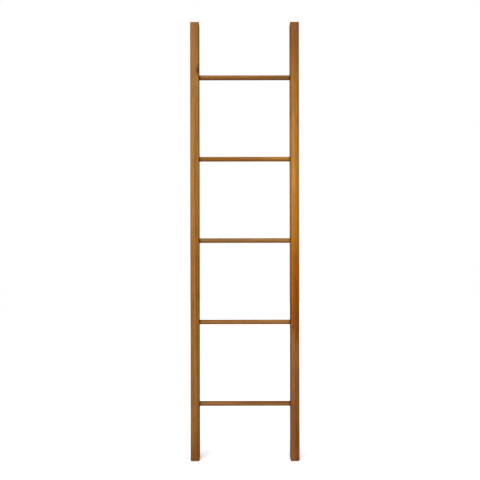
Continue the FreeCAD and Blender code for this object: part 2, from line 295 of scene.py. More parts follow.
def wear_depth(places, edge, seed):
    """How deep the wood is worn at each place: a slow unevenness everywhere, a slow wear that
    grows towards the middle of an edge, and a few round dents that only edges have."""
    uneven = UNEVEN * slow_change(places, seed, UNEVEN_REACH)
    worn = EDGE_WEAR * edge * slow_change(places, seed + 1, EDGE_WEAR_REACH)
    dice = np.random.default_rng(seed + 2)
    heights = dice.uniform(rail_foot + DENT_FREE_END, rail_foot + rail_length - DENT_FREE_END,
                           DENTS_PER_RAIL)
    sides = dice.choice([-1.0, 1.0], size=(DENTS_PER_RAIL, 2))
    centres = np.column_stack([sides * np.array([rail_width, rail_depth]) / 2, heights])
    reach = DENT_REACH * dice.uniform(0.6, 1.3, DENTS_PER_RAIL)
    distance = np.linalg.norm(places[..., None, :] - centres, axis=-1)
    dents = (smooth_fall(distance, reach) * DENT_DEPTH).max(axis=-1)
    return uneven + worn + dents * np.clip(edge + 0.3, 0, 1) * (edge > 0)


# %% [markdown]
# ## The long skin of a rail
# The outline is carried from the foot to the top. Its two ends are rounded over slightly, as
# a joiner takes the sharpness off a sawn end. Round each rung the two flats that are drilled
# get no quads at all: a patch with a real hole goes there. The rows are closer together there
# so that they meet the patch point for point.

# %% Rows of the skin, from foot to top
PLAIN_STEP = 7 * MM
BEVEL_STEPS = 3
END_EDGE = 0.8               # edge value round a sawn end
patch_half = rail_depth / 2 - ARRIS_RADIUS


def rail_rows():
    """Heights of the rows above the rail's foot, how far each is set in at the ends, and for
    each gap between rows whether it lies beside a rung."""
    swing = np.linspace(0, math.pi / 2, BEVEL_STEPS + 1)[:-1]
    foot = END_BEVEL * (1 - np.cos(swing))
    set_in_foot = END_BEVEL * (1 - np.sin(swing))
    heights, beside = [foot], [np.zeros(len(foot), bool)]
    place = END_BEVEL
    for height in rung_heights - rail_foot:
        count = max(2, round((height - patch_half - place) / PLAIN_STEP))
        heights.append(np.linspace(place, height - patch_half, count, endpoint=False))
        beside.append(np.zeros(count, bool))
        heights.append(height + np.linspace(-patch_half, patch_half, FLAT_STEPS, endpoint=False))
        beside.append(np.ones(FLAT_STEPS, bool))
        place = height + patch_half
    count = max(2, round((rail_length - END_BEVEL - place) / PLAIN_STEP))
    heights.append(np.linspace(place, rail_length - END_BEVEL, count + 1))
    beside.append(np.zeros(count, bool))
    heights.append(rail_length - foot[::-1])
    heights, beside = np.concatenate(heights), np.concatenate(beside)
    set_in = np.zeros(len(heights))
    set_in[: len(foot)] = set_in_foot
    set_in[-len(foot):] = set_in_foot[::-1]
    return heights, set_in, np.append(beside, np.zeros(len(heights) - 1 - len(beside), bool))


def rail_skin(seed):
    """Place = outline + outward direction x (minus wear and end set-in), at each row's height."""
    heights, set_in, beside = rail_rows()
    base = np.empty((len(heights), len(outline), 3))
    base[..., :2] = outline
    base[..., 2] = heights[:, None] + rail_foot
    edge = np.repeat(outline_edge[None], len(heights), axis=0)
    depth = wear_depth(base, edge, seed) + set_in[:, None]
    skin = base.copy()
    skin[..., :2] -= outline_outward * depth[..., None]
    side, along_side = np.divmod(np.arange(len(outline)), FLAT_STEPS + ARRIS_STEPS)
    drilled = (side % 2 == 0) & (along_side < FLAT_STEPS)
    keep = ~(beside[:, None] & drilled[None])
    edge = np.maximum(edge, (set_in > 0)[:, None] * END_EDGE)
    end_grain = (set_in / END_BEVEL)[:, None]
    print("rows of the skin:", len(heights))
    return patch(skin, closed=True, edge=edge, end_grain=end_grain, keep=keep), skin[0], skin[-1]


# %% [markdown]
# ## Flats with real holes in them
# A drilled face could be cut with a Boolean, which leaves long thin faces. Instead the square
# round each hole is made of rings that change from the circle of the hole to the square of
# the flat. Each ring point is a mix of a point on the circle and a point on the square, so
# the outer ring meets the skin exactly and the inner ring meets the bore.

# %% A square patch round a hole
RING_STEPS = 7
RING_CROWDING = 1.4          # above 1, rings crowd towards the hole
MORTISE_SHADE = 4.0 * MM      # reach of the painted shade round a rung's mortise
PLUG_DIRT = 1.2 * MM         # reach of the dark glue line round a plug


def drilled_flat(sign, height, hole_radius, seed):
    """Place = (1 - t) x circle + t x square, for t from 0 at the hole to 1 at the flat's edge.
    sign is 1 on the inner flat and -1 on the outer one."""
    share = np.arange(FLAT_STEPS) / FLAT_STEPS * 2 - 1
    one = np.ones(FLAT_STEPS)
    square = np.concatenate([np.stack([one, share], -1), np.stack([-share, one], -1),
                             np.stack([-one, -share], -1), np.stack([share, -one], -1)])
    swing = (np.arange(4 * FLAT_STEPS) / FLAT_STEPS - 0.5) * math.pi / 2
    circle = np.stack([np.cos(swing), np.sin(swing)], -1)
    t = (np.linspace(0, 1, RING_STEPS + 1) ** RING_CROWDING)[:, None, None]
    flat = (1 - t) * circle * hole_radius + t * square * patch_half
    points = np.empty(flat.shape[:2] + (3,))
    points[..., 0] = sign * rail_width / 2
    points[..., 1] = flat[..., 0]
    points[..., 2] = flat[..., 1] + height
    depth = wear_depth(points, np.zeros(points.shape[:2]), seed)
    points[..., 0] -= sign * depth * smooth_fall(1 - t[..., 0], 1.0)
    from_rim = np.linalg.norm(flat, axis=-1) - hole_radius
    # Inner flats get painted shade round the mortise; outer flats a thin glue line round the plug.
    shade_and_glue_reach = MORTISE_SHADE if sign > 0 else PLUG_DIRT
    return patch(points, closed=True, joint=smooth_fall(from_rim, shade_and_glue_reach) * 0.8)


# %% [markdown]
# ## One bore from face to face
# Each joint is a single stepped bore: a counterbore for the plug and the screw head from the
# outer face, a clearance hole for the screw, and the blind mortise for the rung from the inner
# face. A stepped profile turned about the bore's axis makes all of its walls and shoulders
# at once, which is what the drill bits do.

# %% Turn a profile about the bore's axis
def bore(height, mouth_radius, counterbore_radius):
    """Place = (profile's distance across the rail, profile's radius at each angle round)."""
    outer, inner = -rail_width / 2, rail_width / 2
    shoulder = outer + head_place + HEAD_HEIGHT
    profile = np.array([
        (inner, mouth_radius),
        (inner - MOUTH_BEVEL, mouth_radius - MOUTH_BEVEL),
        (inner - mortise_depth, mouth_radius - MOUTH_BEVEL),
        (inner - mortise_depth, SCREW_HOLE_RADIUS),
        (shoulder, SCREW_HOLE_RADIUS),
        (shoulder, counterbore_radius),
        (outer, counterbore_radius),
    ])
    swing = (np.arange(4 * FLAT_STEPS) / FLAT_STEPS - 0.5) * math.pi / 2
    points = np.empty((len(profile), len(swing), 3))
    points[..., 0] = profile[:, :1]
    points[..., 1] = profile[:, 1:] * np.cos(swing)
    points[..., 2] = profile[:, 1:] * np.sin(swing) + height
    # The joint value paints the bore's walls dark, as painted shade inside the hole.
    return patch(points, closed=True, joint=0.9)


# %% [markdown]
# ## The sawn ends
# The ends show end grain. A cap of rings shrinks from the outline to one middle point, which
# the weld turns into a fan of triangles. Its points carry the end-grain value, because end
# grain drinks more stain and comes out darker.

# %% Close a rail's ends
CAP_RINGS = 6
END_DISH = 0.1 * MM
END_DISH_REACH = 0.02


def rail_cap(rim, seed):
    """Place = middle + share x (rim - middle), dished by up to a tenth of a millimetre."""
    share = np.linspace(1, 0, CAP_RINGS + 1)[:, None, None]
    middle = rim.mean(axis=0)
    points = middle + share * (rim - middle)
    inwards = 1.0 if middle[2] < rail_foot + rail_length / 2 else -1.0
    dish = slow_change(points, seed, END_DISH_REACH) * (1 - share[..., 0]) * END_DISH
    points[..., 2] += inwards * dish
    return patch(points, closed=True, edge=np.array([END_EDGE] + [0.0] * CAP_RINGS)[:, None],
                 end_grain=1.0)


# %% [markdown]
# ## Two rails from one pattern
# Both rails are the same part. The right one is turned half round about the upright axis, and
# not mirrored, so its inner face also looks at the other rail and nothing is inside out. Its
# own seed gives it its own wear.

# %% Make both rails
def place_on_side(part, side):
    """Moves a rail-shaped patch from the middle to its side: a half turn about Z on the right."""
    sign = -SIDES[side]
    part["points"][:, :2] *= sign
    part["points"][:, 0] += SIDES[side] * (outer_face - rail_width / 2)
    return part


def make_rail(side, seed):
    """A rail's skin, its two caps, and a drilled flat on each side of each bore."""
    skin, foot_rim, top_rim = rail_skin(seed)
    parts = [skin, rail_cap(foot_rim, seed + 5), rail_cap(top_rim, seed + 6)]
    mouth = rung_radius + GLUE_GAP + MOUTH_BEVEL
    counterbore = plug_radius + PLUG_GAP
    for height in rung_heights:
        parts.append(drilled_flat(1, height, mouth, seed))
        parts.append(drilled_flat(-1, height, counterbore, seed))
        parts.append(bore(height, mouth, counterbore))
    return make_piece(f"{side}_rail_timber", [place_on_side(part, side) for part in parts])


rails = {"left": make_rail("left", seed=11), "right": make_rail("right", seed=37)}

# %% [markdown]
# ## Rungs turned from dowel
# A rung is a dowel with bevelled ends and a pilot hole for a screw in each. A dowel that has
# been sanded by hand is never a perfect cylinder, so its radius wanders by up to a tenth of a
# millimetre. The whole surface is one profile turned about the rung's axis, from the bottom of
# one pilot hole out over the rung and into the other.

# %% Turn a rung
RUNG_ROUND = 64
RUNG_STEP = 4 * MM
RUNG_UNEVEN_REACH = 0.05
TRUE_END = 5 * MM            # stretch behind a bevel where the radius stays true
RUNG_END_SHADE = 7 * MM           # reach of the painted shade along a rung from a rail


def turned(profile, around):
    """Place = (profile's place along X, its radius at each angle round X)."""
    swing = np.arange(around) / around * 2 * math.pi
    points = np.empty((len(profile), around, 3))
    points[..., 0] = profile[:, :1]
    points[..., 1] = profile[:, 1:] * np.cos(swing)
    points[..., 2] = profile[:, 1:] * np.sin(swing)
    return points


def make_rung(name, height, seed):
    """Radius wanders inwards along the rung only between its bevels; the ends stay true."""
    end = rung_half_length
    steps = round(2 * (end - RUNG_BEVEL) / RUNG_STEP)
    body = np.linspace(RUNG_BEVEL - end, end - RUNG_BEVEL, steps + 1)
    tip = end - PILOT_LENGTH
    end_profile = np.array([
        (tip, 0), (tip + PILOT_RADIUS, PILOT_RADIUS), (end, PILOT_RADIUS),
        (end, rung_radius - RUNG_BEVEL),
    ])
    start_profile = end_profile * np.array([-1, 1])
    whole = np.concatenate([
        start_profile, np.column_stack([body, np.full(len(body), rung_radius)]), end_profile[::-1],
    ])
    points = turned(whole, RUNG_ROUND)
    ends = len(start_profile)
    outside = points[ends:-ends]
    away = end - RUNG_BEVEL - np.abs(outside[..., 0])
    uneven = UNEVEN * slow_change(outside, seed, RUNG_UNEVEN_REACH)
    depth = uneven * (1 - smooth_fall(away, TRUE_END))
    outside[..., 1:] *= (1 - depth / rung_radius)[..., None]
    points[..., 2] += height
    end_grain = np.zeros((len(whole), 1))
    end_grain[[1, 2, 3, -2, -3, -4]] = 1.0
    # The joint value paints shade on a rung where it meets a rail.
    from_rail = inner_face - np.abs(whole[:, :1])
    joint = smooth_fall(np.maximum(from_rail, 0), RUNG_END_SHADE)
    dowel = patch(points, closed=True, end_grain=end_grain, joint=joint)
    return make_piece(f"{name}_dowel", [dowel])


rungs = [make_rung(name, height, 60 + 3 * number)
         for number, (name, height) in enumerate(zip(rung_names, rung_heights))]

# %% [markdown]
# ## Plugs over the screws
# A plug is a short cylinder of the same wood, glued in over a screw head and sanded flush.
# Plugs are set in by hand, so each has its own turn. That turn is kept as a value on its
# points, and the finish reads it to turn the grain. Five plugs are one array with a row for
# each, and one mesh for each rail.

# %% Turn five plugs for each rail
PLUG_ROUND = 48
PLUG_RIM = 0.25 * MM
PLUG_INNER_BEVEL = 0.8 * MM
PLUG_SUNK = 0.02 * MM        # below the rail's face, once sanded
PLUG_TURN = 0.9              # radians, the most that a plug is turned


def make_plugs(side, seed):
    """One turned profile, repeated at each rung's height, with its outer face in the rail's."""
    dice = np.random.default_rng(seed)
    face = outer_face - PLUG_SUNK
    inner = outer_face - plug_length
    profile = np.array([
        (face, 0), (face, plug_radius * 0.5), (face, plug_radius - PLUG_RIM),
        (face - PLUG_RIM, plug_radius), (inner + PLUG_INNER_BEVEL, plug_radius),
        (inner, plug_radius - PLUG_INNER_BEVEL), (inner, 0),
    ])
    single = turned(profile, PLUG_ROUND)
    edge = np.array([0, 0, 0.6, 1, 0, 0, 0])[:, None]
    parts = []
    for height in rung_heights:
        points = single.copy()
        points[..., 2] += height
        points[..., :2] *= SIDES[side]
        parts.append(patch(points, closed=True, edge=edge))
    piece = make_piece(f"{side}_plugs_turned", parts)
    places = np.empty(len(piece.data.vertices) * 3, np.float32)
    piece.data.vertices.foreach_get("co", places)
    nearest = np.abs(places.reshape(-1, 3)[:, 2:] - rung_heights).argmin(axis=1)
    turns = dice.uniform(-PLUG_TURN, PLUG_TURN, len(rung_heights))
    layer = piece.data.attributes.new("plug_turn", "FLOAT", "POINT")
    layer.data.foreach_set("value", turns[nearest].astype(np.float32))
    print("plugs turned by", np.degrees(turns).round(), "degrees")
    return piece


plugs = {"left": make_plugs("left", seed=81), "right": make_plugs("right", seed=82)}

# %% [markdown]
# ## Colours as a painter would name them
# A finish is a tree of nodes. Its colours are easier to choose as they look on a screen, from
# 0 to 255 for red, green and blue. Blender works in linear light, so each is turned into that
# once, here, and nowhere else.

# %% Colours
def stain(red, green, blue):
    """A colour as seen on a screen, as linear light with full alpha."""
    seen = np.array([red, green, blue]) / 255
    linear = np.where(seen <= 0.04045, seen / 12.92, ((seen + 0.055) / 1.055) ** 2.4)
    return (*linear.tolist(), 1.0)


def grey(level):
    """A plain grey used as a factor: 1 leaves a colour as it is, less makes it darker."""
    return (level, level, level, 1.0)


print("a mid brown stain in linear light:", [round(value, 3) for value in stain(156, 107, 48)])

# %% [markdown]
# ## Small helpers for node trees
# Each helper adds one kind of node and fills its sockets. A value is set, and another node's
# result is linked, so a recipe reads like a sum. A Map Range node eases a value from one span
# to another, which serves for masks. A Color Ramp turns a value into colours.

# %% Node helpers
def add_node(tree, kind, sockets=None, **settings):
    """A new node with its settings and sockets filled: an output is linked, a value is set."""
    node = tree.nodes.new(kind)
    for name, value in settings.items():
        setattr(node, name, value)
    for name, value in (sockets or {}).items():
        if isinstance(value, bpy.types.NodeSocket):
            tree.links.new(value, node.inputs[name])
        else:
            node.inputs[name].default_value = value
    return node


def sum_of(tree, operation, *values):
    """One sum of one to three numbers, such as ADD or FRACT."""
    sockets = dict(enumerate(values))
    return add_node(tree, "ShaderNodeMath", sockets, operation=operation).outputs[0]


def vector_of(tree, operation, first, second=(0.0, 0.0, 0.0)):
    """A vector sum; for LENGTH and DOT_PRODUCT the result is one number."""
    node = add_node(tree, "ShaderNodeVectorMath", {0: first, 1: second}, operation=operation)
    return node.outputs["Value" if operation in ("LENGTH", "DOT_PRODUCT") else "Vector"]


def mixed(tree, blend, share, under, over):
    """Two colours mixed by a share from 0, all under, to 1, all over."""
    return add_node(tree, "ShaderNodeMix", {0: share, 6: under, 7: over},
                    data_type="RGBA", blend_type=blend).outputs[2]


def spread(tree, value, low, high, to_low=0.0, to_high=1.0, ease="SMOOTHSTEP"):
    """Value from low..high brought to to_low..to_high, and held at the ends."""
    sockets = {0: value, 1: low, 2: high, 3: to_low, 4: to_high}
    return add_node(tree, "ShaderNodeMapRange", sockets, interpolation_type=ease).outputs[0]


def bands(tree, value, stops, ease="EASE"):
    """A colour ramp with a stop for each (place, colour)."""
    node = add_node(tree, "ShaderNodeValToRGB", {0: value})
    ramp = node.color_ramp
    ramp.interpolation = ease
    while len(ramp.elements) < len(stops):
        ramp.elements.new(0.5)
    for element, (place, colour) in zip(ramp.elements, stops):
        element.position = place
        element.color = colour
    return node.outputs[0]


def part_of(tree, vector, axis):
    """One of a vector's three numbers, by its axis letter."""
    return add_node(tree, "ShaderNodeSeparateXYZ", {0: vector}).outputs[axis]


def value_on_points(tree, label):
    """A value that a piece's own points carry."""
    return add_node(tree, "ShaderNodeAttribute", attribute_name=label).outputs["Fac"]


# %% [markdown]
# ## Where the grain runs
# Wood is a solid with a direction, so every pattern below is looked up in a frame of its own:
# the middle of the piece is its origin and the grain runs along its Z. The rails already stand
# that way. A rung lies along X, so its coordinates are turned by a quarter. Noise that is
# shortened along Z before it is looked up comes out long along the grain, like wood fibres.

# %% Grain coordinates and grain noise
def grain_place(tree, middle, grain_along_x):
    """Object coordinates moved to a piece's middle and turned so that its grain runs along Z.
    On a rung, X then points down and Z to the right."""
    seen = add_node(tree, "ShaderNodeTexCoord").outputs["Object"]
    turn = (0.0, 0.0, 0.0)
    if grain_along_x:
        turn = (0.0, -math.pi / 2, 0.0)
        middle = (-middle[2], middle[1], middle[0])
    sockets = {"Vector": seen, "Rotation": turn, "Location": tuple(-value for value in middle)}
    return add_node(tree, "ShaderNodeMapping", sockets, vector_type="POINT").outputs["Vector"]


def grain_noise(tree, place, seed, scale, stretch, detail=3.0, roughness=0.6):
    """Noise at place x (1, 1, stretch), moved aside by the seed so that no two pieces match."""
    drawn = vector_of(tree, "MULTIPLY", place, (1.0, 1.0, stretch))
    moved = vector_of(tree, "ADD", drawn, (seed * 0.37, seed * 0.11, seed * 0.53))
    sockets = {"Vector": moved, "Scale": scale, "Detail": detail, "Roughness": roughness}
    return add_node(tree, "ShaderNodeTexNoise", sockets)


# %% [markdown]
# ## Knots are branches cut across
# A branch leaves the pith and runs outwards, so a knot is a short rod of dark wood that
# reaches one face. Its distance is measured from the rod's axis, and grows again behind the
# rod's start, so the knot can't show on the far side. The grain has to flow round it.

# %% Distance from a knot
def knot_distance(tree, place, knot):
    """Length of (place - centre) x direction, plus how far the place lies behind the centre.
    Lengths along the grain are shortened, so a knot is taller than it is wide."""
    away = vector_of(tree, "SUBTRACT", place, knot["centre"])
    away = vector_of(tree, "MULTIPLY", away, (1.0, 1.0, 0.6))
    crossed = vector_of(tree, "LENGTH", vector_of(tree, "CROSS_PRODUCT", away, knot["direction"]))
    behind = sum_of(tree, "MULTIPLY", vector_of(tree, "DOT_PRODUCT", away, knot["direction"]), -1.0)
    return sum_of(tree, "ADD", crossed, sum_of(tree, "MAXIMUM", behind, 0.0))


# %% [markdown]
# ## Growth rings in the solid
# Wood colour isn't painted on a face: it is a cut through rings that grew round the pith. If
# the pattern depends on the distance from a pith line, then the front, the side and the sawn
# end of a rail agree by themselves. The pith lies outside the timber and leans a little, the
# rings wander slowly along the grain, some years are wider than others, and each knot pushes
# the rings aside.

# %% Distance from the pith
RING_SPACING = 3.0 * MM
WANDER_NOISE = {"scale": 24.0, "stretch": 0.09, "detail": 2.0, "roughness": 0.5}
WANDER = 7.0 * MM


def pith_distance(tree, place, recipe):
    """Length of (place + wander + lean x height - pith) across the grain, plus a push at each
    knot."""
    wander = grain_noise(tree, place, recipe["seed"], **WANDER_NOISE)
    offset = vector_of(tree, "SUBTRACT", wander.outputs["Color"], (0.5, 0.5, 0.5))
    bend = vector_of(tree, "MULTIPLY", offset, (WANDER, WANDER, 0.0))
    bent = vector_of(tree, "ADD", place, bend)
    height = part_of(tree, place, "Z")
    lean = [sum_of(tree, "MULTIPLY", height, value) for value in recipe["lean"]]
    leaning = add_node(tree, "ShaderNodeCombineXYZ", {0: lean[0], 1: lean[1]}).outputs[0]
    from_pith = vector_of(tree, "SUBTRACT", vector_of(tree, "ADD", bent, leaning), recipe["pith"])
    distance = vector_of(tree, "LENGTH", vector_of(tree, "MULTIPLY", from_pith, (1.0, 1.0, 0.0)))
    for knot in recipe.get("knots", ()):
        size = knot["size"]
        push = spread(tree, knot_distance(tree, place, knot), 0.0, size * 3.4, size * 1.5, 0.0)
        distance = sum_of(tree, "ADD", distance, push)
    return distance


# %% [markdown]
# ## Tone along the length
# Stain was wiped on by hand, so its tone changes slowly along a piece, and each tone runs into
# the next with a ragged border that follows the grain. On the rails the tones also darken
# towards the foot, partly as painted shade. The ramp is read along the piece, with a noise
# added to the place first. The same noise decides later where ring lines are strong.

# %% Tones along the grain
def tones_along_grain(tree, place, recipe, waver):
    """A ramp over the place along the grain plus a waver, from one end of a piece to the other."""
    reach = recipe["length"]
    shift = spread(tree, waver, 0.3, 0.7, -0.03 * reach, 0.03 * reach)
    along = sum_of(tree, "ADD", part_of(tree, place, "Z"), shift)
    share = spread(tree, along, -reach / 2, reach / 2, ease="LINEAR")
    return bands(tree, share, recipe["tones"], "LINEAR")


# %% [markdown]
# ## Ring lines
# Softwood grows pale and soft in spring and lays down a dark, hard line in late summer. The
# whole timber also has broad bands of paler and darker years. The broad bands are a ramp over
# the distance from the pith. The fine lines come from what is left of that distance after
# whole rings are taken off: pale, then darker, then a sharp step back to pale.

# %% Broad bands and ring lines
RING_LINE = ((0.0, grey(1.04)), (0.40, grey(1.02)), (0.72, grey(0.78)), (0.92, grey(0.48)),
             (1.0, grey(1.0)))
YEAR_PACE = 90.0             # how fast the width of the years changes with distance
YEAR_SHIFT = 2.6 * MM        # the most that a line is moved by it
SAWN_STRENGTH = 0.9          # of the lines on end grain


def ring_lines(tree, colour, recipe, distance, waver):
    """The colour times its bands and lines, and how far through a ring each place is."""
    share = spread(tree, distance, *recipe["band_reach"], ease="LINEAR")
    colour = mixed(tree, "MULTIPLY", 1.0, colour, bands(tree, share, recipe["bands"]))
    sockets = {"W": sum_of(tree, "MULTIPLY", distance, YEAR_PACE), "Detail": 1.0}
    years = add_node(tree, "ShaderNodeTexNoise", sockets, noise_dimensions="1D").outputs["Fac"]
    shift = spread(tree, years, 0.2, 0.8, 0.0, YEAR_SHIFT, "LINEAR")
    uneven = sum_of(tree, "ADD", distance, shift)
    ring = sum_of(tree, "FRACT", sum_of(tree, "DIVIDE", uneven, RING_SPACING))
    sawn = sum_of(tree, "MULTIPLY", value_on_points(tree, "end_grain"), SAWN_STRENGTH)
    strength = spread(tree, waver, 0.32, 0.72, 0.25, recipe["ring_strength"])
    strength = sum_of(tree, "MAXIMUM", strength, sawn)
    return mixed(tree, "MULTIPLY", strength, colour, bands(tree, ring, RING_LINE, "LINEAR")), ring


# %% [markdown]
# ## Fibres, resin canals and blotches
# Three finer layers sit inside the rings. Fibres are hair-thin threads. Resin canals are short
# dark dashes along the grain. Blotches are soft patches where softwood drank more stain. Each
# is a grain noise of its own size, and each only scales the colour under it.

# %% Finer layers of the wood
FIBRE_TONE = ((0.28, grey(0.68)), (0.5, grey(1.0)), (0.72, grey(1.28)))
STREAK_TONE = ((0.30, grey(0.66)), (0.5, grey(1.0)), (0.70, grey(1.30)))
BLOTCH_TONE = ((0.30, grey(0.74)), (0.5, grey(1.0)), (0.7, grey(1.22)))
CANAL = stain(120, 92, 70)
STREAKS = {"scale": 170.0, "stretch": 0.014}
BLOTCHES = {"scale": 60.0, "stretch": 0.18, "detail": 5.0, "roughness": 0.72}
FIBRES = {"scale": 1700.0, "stretch": 0.016, "roughness": 0.65}
CANALS = {"scale": 1500.0, "stretch": 0.05, "detail": 1.0}


def finer_layers(tree, colour, place, seed):
    """The colour with streaks, blotches, fibres and canals, and the heights of fibres and canals.
    Streaks and blotches are cut off short on end grain, so their share falls there."""
    sawn = value_on_points(tree, "end_grain")
    streak = grain_noise(tree, place, seed + 1, **STREAKS).outputs["Fac"]
    share = spread(tree, sawn, 0.0, 1.0, 0.75, 0.15)
    colour = mixed(tree, "MULTIPLY", share, colour, bands(tree, streak, STREAK_TONE))
    blotch = grain_noise(tree, place, seed + 2, **BLOTCHES).outputs["Fac"]
    share = spread(tree, sawn, 0.0, 1.0, 0.80, 0.25)
    colour = mixed(tree, "MULTIPLY", share, colour, bands(tree, blotch, BLOTCH_TONE))
    fibre = grain_noise(tree, place, seed + 3, **FIBRES).outputs["Fac"]
    colour = mixed(tree, "MULTIPLY", 0.6, colour, bands(tree, fibre, FIBRE_TONE))
    dash = grain_noise(tree, place, seed + 4, **CANALS).outputs["Fac"]
    canal = spread(tree, dash, 0.68, 0.76, 0.0, 0.6)
    return mixed(tree, "MULTIPLY", canal, colour, CANAL), fibre, canal


# %% [markdown]
# ## Knot colours
# A knot has a nearly black heart, a brown rim, and a reddish halo where the grain round it
# took more stain. Its outline is ragged, so a little noise is added to its distance first.

# %% Knots over the rings
KNOT_HEART = stain(58, 32, 18)
KNOT_RIM = stain(84, 48, 24)
KNOT_HALO = stain(205, 160, 118)
KNOT_RING = 0.8 * MM


def knot_colours(tree, colour, place, knot):
    """The colour with a knot's halo multiplied in and its ringed heart laid over."""
    size = knot["size"]
    ragged = grain_noise(tree, place, size * 900, 300.0, 1.0, detail=2.0).outputs["Fac"]
    away = sum_of(tree, "ADD", knot_distance(tree, place, knot),
                  spread(tree, ragged, 0.3, 0.7, -0.2 * size, 0.2 * size))
    halo = spread(tree, away, size * 0.9, size * 2.8, knot["strength"] * 0.7, 0.0)
    colour = mixed(tree, "MULTIPLY", halo, colour, KNOT_HALO)
    heart = mixed(tree, "MIX", spread(tree, away, size * 0.3, size * 0.85), KNOT_HEART, KNOT_RIM)
    years = sum_of(tree, "FRACT", sum_of(tree, "DIVIDE", away, KNOT_RING))
    heart = mixed(tree, "MULTIPLY", 0.6, heart, bands(tree, years, RING_LINE, "LINEAR"))
    covered = spread(tree, away, size * 0.8, size * 1.0, knot["strength"], 0.0)
    return mixed(tree, "MIX", covered, colour, heart)


# %% [markdown]
# ## Edges, ends and joints
# The points of each piece say where its edges, sawn ends and joints are. On edges the stain is
# rubbed thin in places, and the paler wood shows. End grain drinks stain and comes out darker.
# The same joint value paints shade where a rung meets a rail and inside the bores, and a thin
# dark glue line round every plug.

# %% Wear, end grain and painted joint shade
RUBBED = stain(176, 128, 70)
END_GRAIN = stain(196, 182, 166)
# The joint colour is painted shade where a rung meets a rail and in the bores, and a glue line
# round a plug.
JOINT_SHADE_AND_GLUE = stain(150, 116, 92)
RUB_NOISE = {"scale": 70.0, "stretch": 0.5, "detail": 4.0, "roughness": 0.7}


def wear_and_joint_shade(tree, colour, place, recipe):
    """The colour rubbed pale on edges, darkened on end grain, and darkened in joints: painted shade
    beside rungs and in bores, a glue line round plugs.
    """
    rub = grain_noise(tree, place, recipe["seed"] + 6, **RUB_NOISE).outputs["Fac"]
    rubbed = sum_of(tree, "MULTIPLY", value_on_points(tree, "edge"),
                    spread(tree, rub, 0.5, 0.7, 0.0, recipe["rubbed"]))
    colour = mixed(tree, "MIX", rubbed, colour, RUBBED)
    colour = mixed(tree, "MULTIPLY", value_on_points(tree, "end_grain"), colour, END_GRAIN)
    # Joint value: painted shade beside rungs and in bores; a glue line round plugs.
    return mixed(tree, "MULTIPLY", value_on_points(tree, "joint"), colour, JOINT_SHADE_AND_GLUE)


# %% [markdown]
# ## The satin varnish
# The last coat is a thin amber varnish. It isn't glossy: the fibres still stand up through
# it, so roughness and bump both come from the grain. The amber tint on the reflection keeps
# the brown deep. Settings that don't change over the surface are typed straight into the
# shader.

# %% Varnish over the colour
GRAIN_HEIGHT = 0.25 * MM
SAWN_ROUGHER = 0.2


def varnish(tree, colour, ring, fibre, canal):
    """Roughness = 0.62 to 0.50 over the fibres; height = half a ring + fibres - canals."""
    raised = sum_of(tree, "ADD", sum_of(tree, "MULTIPLY", ring, 0.5), fibre)
    raised = sum_of(tree, "SUBTRACT", raised, canal)
    sockets = {"Height": raised, "Strength": 0.5, "Distance": GRAIN_HEIGHT}
    bump = add_node(tree, "ShaderNodeBump", sockets)
    rough = spread(tree, fibre, 0.3, 0.7, 0.62, 0.50)
    sawn = sum_of(tree, "MULTIPLY", value_on_points(tree, "end_grain"), SAWN_ROUGHER)
    rough = sum_of(tree, "ADD", rough, sawn)
    surface = add_node(tree, "ShaderNodeBsdfPrincipled", {
        "Base Color": colour, "Roughness": rough, "Normal": bump.outputs["Normal"],
        "Specular IOR Level": 0.14, "Specular Tint": (1.0, 0.72, 0.40, 1.0),
        "Coat Weight": 0.02, "Coat Roughness": 0.35,
    })
    add_node(tree, "ShaderNodeOutputMaterial", {"Surface": surface.outputs[0]})


# %% [markdown]
# ## One recipe for every stained piece
# Rails, rungs and plugs are all finished the same way, so one function puts the layers on in
# the order a joiner would: the wood first, then stain, wear, and varnish. A recipe only says
# what differs: where the pith lies, the tones, the knots. The same function also paints shade:
# round each rung, darker underneath, and on the inner faces of the rails, which darken over the
# last few millimetres before them.

# %% Put the layers together
# Painted shade on a rail's inner face, and how far in from that face it reaches.
INNER_FACE_SHADE = stain(206, 192, 172)
INNER_SHADE_REACH = 4 * MM
WAVER_NOISE = {"scale": 120.0, "stretch": 0.05}


def new_finish(name):
    """An empty material and its node tree."""
    material = bpy.data.materials.new(name)
    material.use_nodes = True
    material.node_tree.nodes.clear()
    return material, material.node_tree


def wood_finish(name, recipe):
    """A stained wood material from its recipe, with the layers in the order of the work."""
    material, tree = new_finish(name)
    place = grain_place(tree, recipe["middle"], recipe["grain_along_x"])
    if "turn_by" in recipe:
        sockets = {"Vector": place, "Angle": value_on_points(tree, recipe["turn_by"])}
        place = add_node(tree, "ShaderNodeVectorRotate", sockets, rotation_type="X_AXIS").outputs[0]
    waver = grain_noise(tree, place, recipe["seed"] + 5, **WAVER_NOISE).outputs["Fac"]
    # On the rails these tones darken towards the foot, partly as painted shade.
    colour = tones_along_grain(tree, place, recipe, waver)
    # Painted shade round a rung: darker underneath and along its top edge.
    if "painted_round_shade" in recipe:
        down = spread(tree, part_of(tree, place, "X"), -rung_radius, rung_radius, ease="LINEAR")
        colour = mixed(tree, "MULTIPLY", 1.0, colour, bands(tree, down, recipe["painted_round_shade"]))
    # Painted shade on the inner faces of the rails, darkening over the last few millimetres.
    if "inner_side" in recipe:
        inwards = sum_of(tree, "MULTIPLY", part_of(tree, place, "X"), recipe["inner_side"])
        inner_shade = spread(tree, inwards, rail_width / 2 - INNER_SHADE_REACH, rail_width / 2)
        colour = mixed(tree, "MULTIPLY", inner_shade, colour, INNER_FACE_SHADE)
    distance = pith_distance(tree, place, recipe)
    colour, ring = ring_lines(tree, colour, recipe, distance, waver)
    colour, fibre, canal = finer_layers(tree, colour, place, recipe["seed"])
    for knot in recipe.get("knots", ()):
        colour = knot_colours(tree, colour, place, knot)
    colour = wear_and_joint_shade(tree, colour, place, recipe)
    varnish(tree, colour, ring, fibre, canal)
    print(name, "uses", len(tree.nodes), "nodes")
    return material
